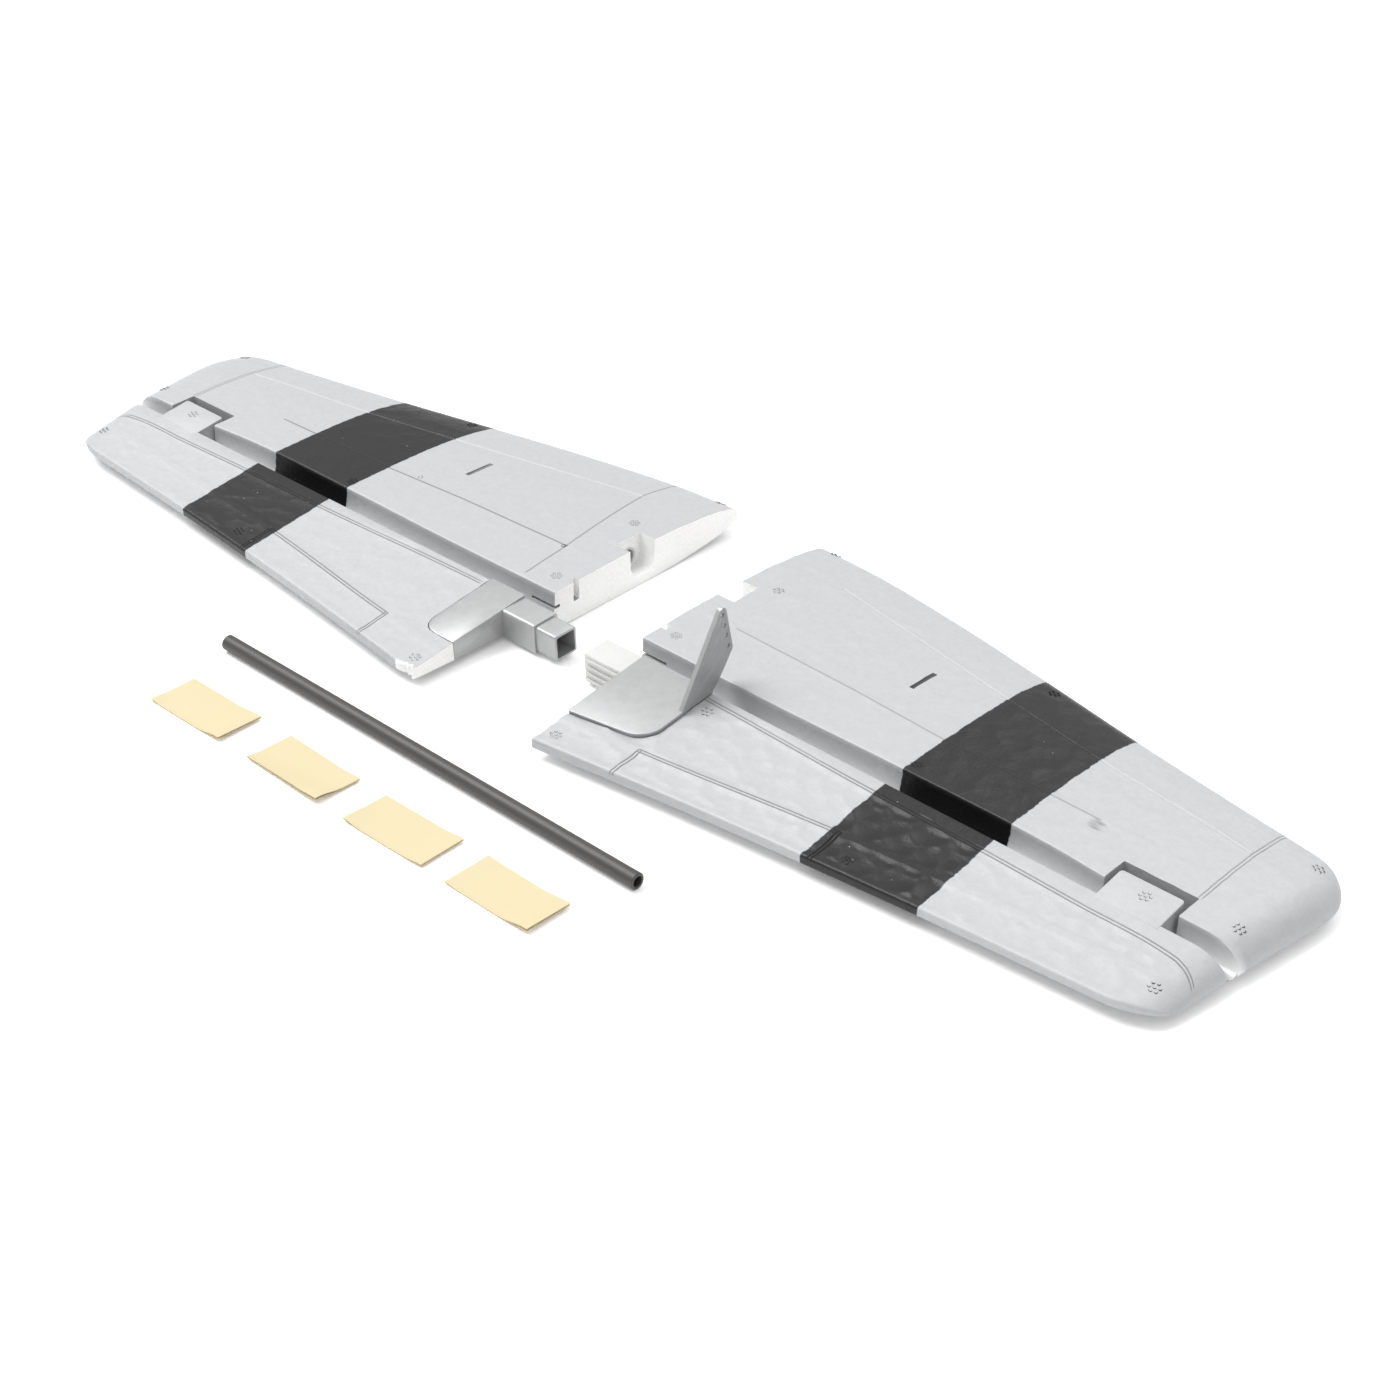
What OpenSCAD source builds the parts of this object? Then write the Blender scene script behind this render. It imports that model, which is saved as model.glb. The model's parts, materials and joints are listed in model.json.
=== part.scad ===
// Horizontal tail set of a foam model aeroplane, laid out with its underside up:
// two stabiliser halves with hinged elevators, the tube that joins them, and four tape strips.
// X runs along the span, +Y towards the leading edge, +Z away from the table.

/* [Layout] */
// Distance between the two root faces
root_gap = 45; // [42:1:60]
// Angle by which the resting elevators hang towards the table
elevator_droop = 2.3; // [0:0.1:4]

/* [Stabiliser] */
// Distance from the plane of symmetry to the tip
tip_reach = 280; // [275:1:300]
// Distance from the hinge line to the leading edge at the root
root_chord = 103.6; // [98:0.2:106]
// Thickness at the root
root_thickness = 16.4; // [15.6:0.2:18]
// Thickness near the tip
tip_thickness = 13.2; // [12.4:0.2:14]
// Height of the hinge line above the table
hinge_height = 4.3; // [4:0.1:5]

/* [Elevator] */
// Distance from the plane of symmetry to the elevator's root
elevator_root = 31; // [29:0.5:32]
// Distance from the hinge line to the trailing edge at the root
elevator_chord = 60.2; // [56:0.2:64]
// Thickness of the trailing edge at the root
trailing_edge = 4.4; // [3.6:0.2:5]

/* [Joiner and horn] */
// Outer width of the square socket and of the shoulder that meets it
joiner_width = 12.4; // [12:0.2:13]
// Outer width of the square spigot
spigot_width = 10.6; // [10:0.2:10.8]
// Length of the spigot
spigot_length = 10.2; // [8:0.2:12]
// Height of the control horn above the elevator's skin
horn_height = 31; // [28:1:34]
// Diameter of the four pushrod holes
pushrod_hole = 1.6; // [1.2:0.1:1.8]

/* [Joiner tube] */
// Outer diameter of the tube
tube_diameter = 6; // [5:0.5:6]
// Inner diameter of the tube
tube_bore = 3.8; // [3:0.2:4]
// Length of the tube
tube_length = 209; // [200:1:215]

/* [Tape strips] */
// Length of a strip
tape_length = 38.1; // [36:0.1:40]
// Width of a strip
tape_width = 19; // [18:0.1:20]

/* [Hidden] */
$fn = 48;

silver = "#d5d7d7";
raw_foam = "#f4f4f2";
grey_plastic = "#c9cac9";
white_plastic = "#ecece8";
dark_plastic = "#3b3c40";
carbon = "#45433f";
paper = "#f9f1c4";
film = "#e8e6da";

// Layout on the table: the origin is below the middle of everything
tape_row_y = -118.5;
tube_y = -88;
tube_x = 4;
layout_shift = -(root_chord + tape_row_y - tape_width / 2) / 2;
tape_places = [[-74.2, 0.3], [-20.7, -1.7], [30.6, 0.7], [80.4, -0.4]];  // [x, yaw]
tape_film_thickness = 0.2;
tape_liner_thickness = 0.3;

// Sections
mid_height = root_thickness / 2;
stab_root = root_gap / 2;
hinge_share = 0.86;          // elevator thickness at the hinge, as a share of the section's
groove_top = 4.3;            // half width of the hinge groove at the upper skin
groove_foot = 1;             // half width of the groove where it meets the web
web_thickness = 1;
web_end_gap = 2.5;
tip_rake = 0.155;            // how fast the tip edge runs inboard behind tip_chord
tip_chord = 40;
edge_round = 0.94;           // share of the span where the tip edge begins to round
edge_height = 4.6;           // height that the upper and lower skins roll off to at the tip

// Leading edge ahead of the hinge, [share of span, share of root_chord]
leading_edge = [[0, 1], [0.09, 0.989], [0.28, 0.921], [0.456, 0.835], [0.63, 0.744], [1, 0.56]];
leading_corner = [0.92, 17];   // [share of span where the corner begins, depth of the corner]
// Trailing edge behind the hinge, [share of span, share of elevator_chord]
trailing_line = [[0, 1], [0.29, 0.86], [0.64, 0.724], [1, 0.618]];
trailing_corner = [0.93, 11];
// Stabiliser section, [share of chord from the leading edge, share of half thickness]
nose = [[0, 0], [0.008, 0.2], [0.03, 0.38], [0.07, 0.53], [0.13, 0.67], [0.22, 0.8],
        [0.35, 0.93], [0.5, 1], [0.75, 1], [1, 0.95]];
stations = [0, 0.15, 0.35, 0.55, 0.75, 0.88, 0.92, 0.94, 0.955, 0.967, 0.978, 0.987, 0.994, 1];

// Balance tab of the elevator and the notch that takes it
notch_x = [223.2, 251];
notch_depth = 12.7;
tab_clearance = 2;
tab_front = 8.6;
tab_half_height = 5.4;

// Tube socket in each half
tube_axis_y = 49.5;
tube_end_x = 118.5;
pocket_depth = 8;
pocket_width = 13.5;
pocket_floor = 4;
sleeve_outer = 8;
running_gap = 0.06;
guide_x = 113.3;
guide_width = 13.5;
guide_thickness = 2;
guide_top = 15.3;

// Joiner, in the elevator's own frame
joiner_y = -9.1;
joiner_z = 7.6;
joiner_wall = 0.9;
shoulder_end = 14.5;
socket_end = 11.3;
socket_depth = 16;
spigot_hollow = 26;
tenon_end = 50;
tenon_width = 10;
plate_end = 48.5;
plate_front = -3.4;
plate_back = -39.5;
plate_corner = 8;

// Control horn
horn_x = 63.7;
horn_thickness = 1.8;
horn_inset = 0.8;
horn_raise = 0.8;
horn_base = [[elevator_root, -4], [elevator_root, -42.6], [58.7, -38.6], [horn_x, -33], [horn_x, -4]];
// Outline of the fin, [distance from the hinge line, height above the skin]
horn_foot = [[-19.9, 0], [-4, 0], [-3.2, 0.9], [1.9, 5.8]];
horn_nose = [7.6, 12.4];
horn_tip = [[6.2, 0.955], [5, 1], [3.4, 0.985]];  // [y, share of horn_height]
horn_holes = [[4.1, 0.907], [4.6, 0.757], [5, 0.613], [5.4, 0.464]];  // [y, share of horn_height]

half_hinge = hinge_share * root_thickness / 2;
skin_angle = atan((half_hinge - trailing_edge / 2) / elevator_chord);

function thickness(w) = root_thickness + (tip_thickness - root_thickness) * w;
function corner(w, c) = w <= c[0] ? 0 : c[1] * (1 - sqrt(1 - pow((w - c[0]) / (1 - c[0]), 2)));
function lead(w) = root_chord * lookup(w, leading_edge) - corner(w, leading_corner);
function trail(w) = -elevator_chord * lookup(w, trailing_line) + corner(w, trailing_corner);
function rounding(w) = w <= edge_round ? 1 : sqrt(1 - 0.95 * pow((w - edge_round) / (1 - edge_round), 2));
function middle(w) = edge_height + (mid_height - edge_height) * rounding(w);
function tip_x(y) = tip_reach - tip_rake * max(0, tip_chord - y);
function drooped(y, z) = [y * cos(elevator_droop) - z * sin(elevator_droop),
                          y * sin(elevator_droop) + z * cos(elevator_droop)];
function place(w, root, y, z) = [root + w * (tip_x(y) - root), y, z];

// One section of the stabiliser at the share w of its span
function stab_ring(w) =
    let (le = lead(w), m = middle(w), h = rounding(w) * thickness(w) / 2, last = len(nose) - 1)
    concat(
        [for (i = [last:-1:0])
            place(w, stab_root, le - nose[i][0] * (le - groove_top), m + h * nose[i][1])],
        [for (i = [1:last])
            place(w, stab_root, le - nose[i][0] * (le - groove_top), m - h * nose[i][1])],
        [place(w, stab_root, groove_foot, hinge_height - web_thickness / 2),
         place(w, stab_root, groove_foot, hinge_height + web_thickness / 2)]
    );

// One section of the elevator, with a rounded trailing edge
function elevator_ring(w) =
    let (te = trail(w), m = middle(w), e = trailing_edge / 2 * (1 - 0.25 * w) * rounding(w),
         h = hinge_share * thickness(w) / 2 * rounding(w))
    [
        place(w, elevator_root, -groove_foot, hinge_height + web_thickness / 2),
        place(w, elevator_root, -groove_foot, hinge_height - web_thickness / 2),
        place(w, elevator_root, -groove_top, m - h + groove_top * (h - e) / -te),
        place(w, elevator_root, te + e / 2, m - e),
        place(w, elevator_root, te, m - e / 2),
        place(w, elevator_root, te, m + e / 2),
        place(w, elevator_root, te + e / 2, m + e),
        place(w, elevator_root, -groove_top, m + h - groove_top * (h - e) / -te)
    ];

// Solid through a row of rings, each with the same number of points
module loft(rings) {
    n = len(rings[0]);
    last = len(rings) - 1;
    polyhedron(
        points = [for (ring = rings) each ring],
        faces = concat(
            [[for (i = [n - 1:-1:0]) i]],
            [for (k = [0:last - 1], i = [0:n - 1])
                [k * n + i, (k + 1) * n + (i + 1) % n, (k + 1) * n + i]],
            [for (k = [0:last - 1], i = [0:n - 1])
                [k * n + i, k * n + (i + 1) % n, (k + 1) * n + (i + 1) % n]],
            [[for (i = [0:n - 1]) last * n + i]]
        )
    );
}

// Everything stands in the layout through these three frames
module laid_out() { translate([0, layout_shift, 0]) children(); }
module half(side) { laid_out() mirror([side < 0 ? 1 : 0, 0, 0]) children(); }
module elevator_frame(side) {
    half(side)
        translate([0, 0, hinge_height]) rotate([elevator_droop, 0, 0]) translate([0, 0, -hinge_height])
            children();
}
// Frame on the elevator's upper skin, y measured along the skin from the hinge line
module on_skin() { translate([0, 0, mid_height + half_hinge]) rotate([skin_angle, 0, 0]) children(); }

module box_between(low, high) { translate(low) cube(high - low); }
module along_x(x, y, z, r, length) { translate([x, y, z]) rotate([0, 90, 0]) cylinder(r = r, h = length); }

module stabiliser(side) {
    color(silver) half(side) difference() {
        loft([for (w = stations) stab_ring(w)]);
        box_between([notch_x[0], -1, -1], [notch_x[1], notch_depth, root_thickness + 1]);
        root_pocket();
        along_x(stab_root + pocket_depth - 1, tube_axis_y, mid_height, sleeve_outer / 2,
                guide_x - stab_root - pocket_depth + 1);
        along_x(guide_x, tube_axis_y, mid_height, tube_diameter / 2 + running_gap, tube_end_x - guide_x);
        guide_block(root_thickness + 1);
        relief_slot();
    }
}

// Open-topped pocket at the root, narrower at its floor
module root_pocket() {
    top = root_thickness + 1;
    translate([stab_root - 1, tube_axis_y, 0]) rotate([90, 0, 90]) linear_extrude(pocket_depth + 1)
        polygon([[-pocket_width / 2, top], [-pocket_width / 2, mid_height],
                 [-pocket_width / 3, pocket_floor], [pocket_width / 3, pocket_floor],
                 [pocket_width / 2, mid_height], [pocket_width / 2, top]]);
}

// Narrow slot in the face above the hinge, open at the root
module relief_slot() {
    box_between([stab_root - 1, 0, mid_height + 0.8], [stab_root + 12, 5.5, mid_height + 2]);
}

// Upright plate across the tube, from below the tube up to the given height
module guide_block(top) {
    box_between([guide_x - guide_thickness / 2, tube_axis_y - guide_width / 2, pocket_floor],
                [guide_x + guide_thickness / 2, tube_axis_y + guide_width / 2, top]);
}

module tube_guide(side) {
    color(dark_plastic) half(side) difference() {
        guide_block(guide_top);
        along_x(guide_x - guide_thickness, tube_axis_y, mid_height, tube_diameter / 2 + running_gap,
                2 * guide_thickness);
    }
}

module tube_sleeve(side) {
    start = stab_root + pocket_depth;
    length = guide_x - guide_thickness / 2 - start;
    color(white_plastic) half(side) difference() {
        along_x(start, tube_axis_y, mid_height, sleeve_outer / 2, length);
        along_x(start - 1, tube_axis_y, mid_height, tube_diameter / 2 + running_gap, length + 2);
    }
}

module elevator_blank() {
    loft([for (w = stations) elevator_ring(w)]);
    box_between([notch_x[0] + tab_clearance, -groove_top - 2, mid_height - tab_half_height],
                [notch_x[1] - tab_clearance, tab_front, mid_height + tab_half_height]);
}

module elevator(side) {
    color(silver) elevator_frame(side) difference() {
        elevator_blank();
        if (side < 0) plate_prism();
        if (side > 0) {
            tenon();
            on_skin() for (out = [0, 1])
                translate([-out, 0, -horn_inset]) linear_extrude(horn_inset + 1) polygon(horn_base);
        }
    }
}

// Upright prism of the joiner's root plate, with one round corner
module plate_prism() {
    translate([0, 0, -1]) linear_extrude(root_thickness + 2) hull() {
        translate([elevator_root, plate_front - 1]) square([plate_end - elevator_root, 1]);
        translate([elevator_root, plate_back]) square(1);
        translate([plate_end - plate_corner, plate_back + plate_corner]) circle(plate_corner);
    }
}

module square_bar(x0, x1, width) {
    translate([x0, joiner_y - width / 2, joiner_z - width / 2]) cube([x1 - x0, width, width]);
}

// Part of the socket that is held inside the foam
module tenon() { square_bar(elevator_root, tenon_end, tenon_width); }

// Root plate, shoulder and hollow square spigot of the left elevator
module joiner_spigot() {
    back_half = half_hinge + plate_back * tan(skin_angle);
    front_half = half_hinge + plate_front * tan(skin_angle);
    color(grey_plastic) elevator_frame(-1) difference() {
        union() {
            intersection() {
                plate_prism();
                translate([elevator_root, 0, 0]) rotate([90, 0, 90])
                    linear_extrude(plate_end - elevator_root) polygon([
                        [plate_back, mid_height - back_half], [plate_front, mid_height - front_half],
                        [plate_front, mid_height + front_half], [plate_back, mid_height + back_half]]);
            }
            square_bar(shoulder_end, elevator_root, joiner_width);
            square_bar(shoulder_end - spigot_length, shoulder_end, spigot_width);
        }
        square_bar(shoulder_end - spigot_length - 1, shoulder_end - spigot_length + spigot_hollow,
                   spigot_width - 2 * joiner_wall);
    }
}

// Square socket of the right elevator
module joiner_socket() {
    color(white_plastic) elevator_frame(1) difference() {
        union() {
            square_bar(socket_end, elevator_root, joiner_width);
            tenon();
        }
        square_bar(socket_end - 1, socket_end + socket_depth, joiner_width - 2 * joiner_wall + 0.2);
    }
}

module control_horn() {
    color(grey_plastic) elevator_frame(1) on_skin() {
        translate([0, 0, -horn_inset]) linear_extrude(horn_inset + horn_raise) polygon(horn_base);
        translate([horn_x - horn_thickness, 0, 0]) rotate([90, 0, 90]) difference() {
            linear_extrude(horn_thickness) polygon(concat(
                horn_foot, [horn_nose], [for (p = horn_tip) [p[0], p[1] * horn_height]]));
            for (hole = horn_holes)
                translate([hole[0], hole[1] * horn_height, -1])
                    cylinder(d = pushrod_hole, h = horn_thickness + 2);
        }
    }
}

// Length of foam between an elevator and its stabiliser, bent by the droop
module web_strip(x0, x1) {
    t = web_thickness / 2;
    translate([x0, 0, hinge_height]) rotate([90, 0, 90]) linear_extrude(x1 - x0) polygon([
        [groove_foot, -t], [groove_foot, t],
        drooped(-groove_foot, t), drooped(-groove_foot, -t)]);
}

// Foam on which an elevator bends, on both sides of the balance tab
module hinge_web(side) {
    color(raw_foam) half(side) {
        web_strip(elevator_root, notch_x[0]);
        web_strip(notch_x[1], tip_x(0) - web_end_gap);
    }
}

module joiner_tube() {
    color(carbon) laid_out() difference() {
        along_x(tube_x - tube_length / 2, tube_y, tube_diameter / 2, tube_diameter / 2, tube_length);
        along_x(tube_x - tube_length / 2 - 1, tube_y, tube_diameter / 2, tube_bore / 2, tube_length + 2);
    }
}

module tape_layer(number, low, thickness) {
    laid_out() translate([tape_places[number - 1][0], tape_row_y, low])
        rotate([0, 0, tape_places[number - 1][1]])
            translate([-tape_length / 2, -tape_width / 2, 0]) cube([tape_length, tape_width, thickness]);
}
module tape_strip(number) { color(film) tape_layer(number, 0, tape_film_thickness); }
module tape_liner(number) { color(paper) tape_layer(number, tape_film_thickness, tape_liner_thickness); }

stabiliser(-1);  // stabiliser_left
stabiliser(1);  // stabiliser_right
elevator(-1);  // elevator_left
elevator(1);  // elevator_right
hinge_web(-1);  // hinge_web_left
hinge_web(1);  // hinge_web_right
tube_sleeve(-1);  // tube_sleeve_left
tube_sleeve(1);  // tube_sleeve_right
tube_guide(-1);  // tube_guide_left
tube_guide(1);  // tube_guide_right
joiner_spigot();
joiner_socket();
control_horn();
joiner_tube();
tape_strip(1);  // tape_strip_1
tape_strip(2);  // tape_strip_2
tape_strip(3);  // tape_strip_3
tape_strip(4);  // tape_strip_4
tape_liner(1);  // tape_liner_1
tape_liner(2);  // tape_liner_2
tape_liner(3);  // tape_liner_3
tape_liner(4);  // tape_liner_4
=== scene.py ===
"""Looks of a foam model aeroplane's horizontal tail set, laid out with its underside up.

Local coordinates in this script are millimetres: u from the plane of symmetry, v ahead of the hinge
line (minus behind it), z above the table. The left half is the right half mirrored.
"""
import json
import math

import bmesh
import bpy
import numpy as np
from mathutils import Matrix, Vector
from mathutils.bvhtree import BVHTree


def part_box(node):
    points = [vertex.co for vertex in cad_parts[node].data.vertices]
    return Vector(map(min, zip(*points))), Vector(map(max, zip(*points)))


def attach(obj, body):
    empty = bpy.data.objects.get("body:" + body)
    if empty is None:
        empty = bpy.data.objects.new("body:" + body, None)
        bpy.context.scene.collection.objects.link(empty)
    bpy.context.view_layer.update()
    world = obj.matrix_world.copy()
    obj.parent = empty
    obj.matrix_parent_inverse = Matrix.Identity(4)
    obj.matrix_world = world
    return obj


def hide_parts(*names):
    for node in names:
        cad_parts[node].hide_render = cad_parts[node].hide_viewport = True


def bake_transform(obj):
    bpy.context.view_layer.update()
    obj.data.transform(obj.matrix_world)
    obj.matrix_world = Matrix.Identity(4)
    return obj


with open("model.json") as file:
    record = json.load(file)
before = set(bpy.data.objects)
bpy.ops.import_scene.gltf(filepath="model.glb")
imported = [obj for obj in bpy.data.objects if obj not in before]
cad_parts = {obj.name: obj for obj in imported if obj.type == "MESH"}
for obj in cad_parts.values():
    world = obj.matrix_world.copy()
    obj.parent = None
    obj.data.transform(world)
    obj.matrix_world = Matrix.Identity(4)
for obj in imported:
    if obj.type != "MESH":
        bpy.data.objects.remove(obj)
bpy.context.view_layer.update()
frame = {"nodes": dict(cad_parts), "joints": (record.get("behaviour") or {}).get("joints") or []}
MM = 0.001

# From the frame: hinge line, root and tip of the right half, its root chord and its thickness
hinge = next(j for j in frame["joints"] if j["name"] == "elevator_right_hinge")["pos_m"]
HINGE_Y, HINGE_Z = hinge[1] / MM, hinge[2] / MM
stab_low, stab_high = (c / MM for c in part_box("stabiliser_right"))
ROOT, TIP = stab_low.x, stab_high.x
CHORD = stab_high.y - HINGE_Y
THICK = stab_high.z
MID = THICK / 2
ELEVATOR_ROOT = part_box("elevator_right")[0].x / MM

DROOP = math.radians(2.3)               # how far the elevators hang at rest
ELEVATOR_CHORD = 60.2                   # hinge line to trailing edge at the root
TIP_THICK = 13.2                        # foam thickness just inboard of the tip
FRONT_SHARE = .86                       # elevator's thickness at the hinge line over the stabiliser's
TRAILING_HALF = 2.2                     # half thickness of the trailing edge at the root
EDGE = 4.3                              # half width of the hinge groove at the top
EDGE_Z = 4.6                            # z of the line where the two skins meet at the tip
WEB = .5                                # half thickness of the foam left at the foot of the hinge groove
BAND = (141.2, 185.6)                   # u of the black band
NOTCH_IN, NOTCH_OUT, NOTCH_FRONT = 223.2, 251, 12.7     # notch for the balance tab
TRIM_ENDS = (64.9, 144.5)               # u of the ends of the trim tab's outline
TUBE_V, TUBE_R = 49.5, 3                # joiner tube: v of its sockets, and its radius
BORE_R, BORE_END = 4, 112.4             # hole for the sleeve of the tube socket
TAPE = (38.1, 19)                       # tape strip
DENT = 7.5                              # size of the dents in the skins

# Curves over the span: (share of span, share of chord) for the two outlines, (u, v) for the lines
# moulded in the skins, (v, u) for the root rib, and (share of chord, factor) for the nose's roundness
LEADING = [(0, 1), (.09, .989), (.28, .921), (.456, .835), (.63, .744), (1, .578)]
TRAILING = [(0, 1), (.29, .86), (.64, .724), (1, .618)]
FRONT_LINE = [(20, 85.8), (44, 81), (141.3, 61.5), (187, 53), (250, 43.5), (282, 35)]
REAR_LINE = [(20, 31.6), (42.4, 30), (98.7, 28.5), (141, 26), (186, 25.2), (282, 23.5)]
ROOT_RIB = [(0, 40.7), (5.7, 41.1), (28.9, 43.6), (80.8, 51.7), (100, 51.6), (110, 51.6)]
DOUBLE_LINE = [(30, -7.6), (64, -8), (141, -10.3), (185, -10.8), (225, -11.9), (255, -12.6), (262, -13.6),
               (267, -15.4), (270, -17.5), (276, -19)]
TRIM_LINE = [(30, -45.5), (64.8, -42), (144, -32), (200, -27), (282, -21)]
GROOVE_EDGE = [(22.5, 3.2), (85, 3.2), (141, 4), (205, 3.4), (223, 2), (251, 1.5), (282, 1.2)]
NOSE = [(0, 2.26), (.03, 2.19), (.07, 2), (.13, 1.858), (.22, 1.706), (.35, 1.572), (.5, 1.414),
        (.75, 1.155), (1, .95)]


def along(t, knots):
    """Straight lines through the knots."""
    return np.interp(t, [k[0] for k in knots], [k[1] for k in knots])


def smooth_along(t, knots):
    """Cubic curve through the knots."""
    a, b = np.array(knots, float).T
    slope = np.gradient(b, a)
    t = np.clip(t, a[0], a[-1])
    i = np.clip(np.searchsorted(a, t) - 1, 0, len(a) - 2)
    h = a[i + 1] - a[i]
    q = (t - a[i]) / h
    return ((2 * q ** 3 - 3 * q ** 2 + 1) * b[i] + (q ** 3 - 2 * q ** 2 + q) * h * slope[i]
            + (3 * q ** 2 - 2 * q ** 3) * b[i + 1] + (q ** 3 - q ** 2) * h * slope[i + 1])


def ramp(t, low, high):
    """0 below low and 1 above high, smooth between them."""
    t = np.clip((t - low) / (high - low), 0, 1)
    return t * t * (3 - 2 * t)


def tip_u(v):
    """Tip of a half, which slants inward behind the leading part."""
    return TIP - .155 * np.maximum(0, 40 - v)


def corner(w, start, depth):
    """How far an outline draws in where it rounds the tip's corner, w being the share of span."""
    q = np.clip((w - start) / (1 - start), 0, 1)
    return depth * (1 - np.sqrt(np.maximum(0, 1 - q * q)))


def roll_off(w):
    """Share of the thickness that is left where the tip rounds off."""
    q = np.clip((w - .945) / .055, 0, 1)
    return np.sqrt(1 - .985 * q ** 2.1)


def section_height(w):
    """Half thickness of the foam at the hinge line."""
    return (THICK + (TIP_THICK - THICK) * w) / 2 * roll_off(w)


def middle(w):
    """Height of the line between the two skins, lower at the tip."""
    return EDGE_Z + (MID - EDGE_Z) * roll_off(w)


def groove(distance, half_width):
    """Round-bottomed groove of depth 1."""
    return np.maximum(0, 1 - (distance / half_width) ** 2) ** 2


def quarter(distance, radius):
    """Height of a rounded edge at a distance in from it, as a share of its radius."""
    q = 1 - np.clip(distance / radius, 0, 1)
    return np.sqrt(np.maximum(0, 1 - q * q))


def painted(line, ring):
    """Painted shade of the moulded grooves at every point of a shell's ring, none away from its upper skin.
    """
    out = np.zeros(ring.shape[:2])
    out[:, :line.shape[0]] = line.T
    return out


def pair(distance):
    """Two fine grooves side by side."""
    return groove(np.abs(distance) - .62, .32)


def window(t, low, high, soft=.8):
    """1 between low and high, and 0 outside."""
    return ramp(t, low - soft, low) * (1 - ramp(t, high, high + soft))


def hammered(x, y, cell, seed):
    """Dents of foam beads: square of the distance to the nearest of scattered points, in cells."""
    table = np.random.default_rng(seed).random((64, 64, 2))
    i, j = np.floor(x / cell).astype(int), np.floor(y / cell).astype(int)
    best = np.full(np.shape(x), 9.0)
    for a in (-1, 0, 1):
        for b in (-1, 0, 1):
            p = table[(i + a) % 64, (j + b) % 64]
            best = np.minimum(best, (i + a + p[..., 0] - x / cell) ** 2
                              + (j + b + p[..., 1] - y / cell) ** 2)
    return best


def grid_lines(clusters, counts):
    """Lines of a grid between key curves, as (key, share of the way to the next key, offset).
    clusters[k] are offsets on both sides of key k, and counts[k] is the even steps after key k."""
    out = []
    for k, n in enumerate(counts):
        near, far = clusters[k], clusters[k + 1]
        out += [(k, 0, d) for d in ([0] + near)[:-1]]
        start, end = ([0] + near)[-1], ([0] + far)[-1]
        out += [(k, f, start * (1 - f) - end * f) for f in np.linspace(0, 1, n + 1)]
        out += [(k, 1, -d) for d in reversed(far[:-1])]
    if clusters[-1]:
        out.append((len(counts) - 1, 1, 0))
    return out


def on_lines(lines, keys):
    """Coordinates of the grid lines, given each key curve's coordinate at every grid point."""
    k = np.array([s[0] for s in lines])[:, None]
    share = np.array([s[1] for s in lines])[:, None]
    offset = np.array([s[2] for s in lines])[:, None]
    keys = np.stack(keys)
    columns = np.arange(keys.shape[2])[None, :]
    rows = np.arange(len(lines))[:, None]
    a, b = keys[k, rows, columns], keys[k + 1, rows, columns]
    room = np.minimum(1, np.abs(b - a) / 12)
    return a + share * (b - a) + offset * room * np.sign(b - a)


def solve_grid(row_lines, row_keys, column_lines, column_keys):
    """u and v of a grid whose rows follow curves over u and whose columns follow curves over v."""
    shape = (len(row_lines), len(column_lines))
    v = np.broadcast_to(np.linspace(0, 1, shape[0])[:, None] * 30, shape)
    for _ in range(5):
        u = on_lines(column_lines, [f(v.T) for f in column_keys]).T
        v = on_lines(row_lines, [f(u, v) for f in row_keys])
    return u, v


def new_object(name, vertices, faces, side=1, droop=False, line=None):
    """Mesh object from local millimetres, with its normals outward. line is the painted shade at the first
    vertices, where moulded lines run: darker colour that stands in for the shade in the grooves."""
    p = np.array(vertices, float)
    if droop:
        p = drooped(p)
    p = p * [side, 1, 1] + [0, HINGE_Y, 0]
    mesh = bpy.data.meshes.new(name)
    mesh.from_pydata((p * MM).tolist(), [], faces)
    if line is not None:
        # the line attribute darkens the colour: painted shade in the moulded grooves, and a darker crushed
        # spot
        values = np.zeros(len(p), np.float32)
        values[:line.size] = line.ravel()
        mesh.attributes.new("line", "FLOAT", "POINT").data.foreach_set("value", values)
    obj = bpy.data.objects.new(name, mesh)
    bpy.context.scene.collection.objects.link(obj)
    tidy(obj)
    return obj


def drooped(p):
    """Points turned about the hinge line by the droop."""
    c, s = math.cos(DROOP), math.sin(DROOP)
    y, z = p[:, 1], p[:, 2] - HINGE_Z
    return np.stack([p[:, 0], y * c - z * s, HINGE_Z + y * s + z * c], 1)


def tidy(obj):
    """Weld, drop faces without area and turn the normals outward."""
    bm = bmesh.new()
    bm.from_mesh(obj.data)
    bmesh.ops.remove_doubles(bm, verts=bm.verts, dist=1e-6)
    bmesh.ops.dissolve_degenerate(bm, dist=1e-6, edges=bm.edges)
    bmesh.ops.recalc_face_normals(bm, faces=bm.faces)
    bm.to_mesh(obj.data)
    bm.free()


def smooth_shade(obj, angle=32):
    """Smooth shading, except over edges sharper than the angle."""
    bm = bmesh.new()
    bm.from_mesh(obj.data)
    limit = math.radians(angle)
    for e in bm.edges:
        e.smooth = len(e.link_faces) == 2 and e.calc_face_angle(0) < limit
    for f in bm.faces:
        f.smooth = True
    bm.to_mesh(obj.data)
    bm.free()


def apply_modifiers(obj):
    graph = bpy.context.evaluated_depsgraph_get()
    mesh = bpy.data.meshes.new_from_object(obj.evaluated_get(graph))
    obj.modifiers.clear()
    obj.data = mesh
    return obj


def combine(obj, other, operation="DIFFERENCE"):
    """Cut other out of obj, or join it on, and delete it."""
    m = obj.modifiers.new("cut", "BOOLEAN")
    m.operation, m.object, m.solver = operation, other, "MANIFOLD"
    apply_modifiers(obj)
    bpy.data.objects.remove(other)


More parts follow.
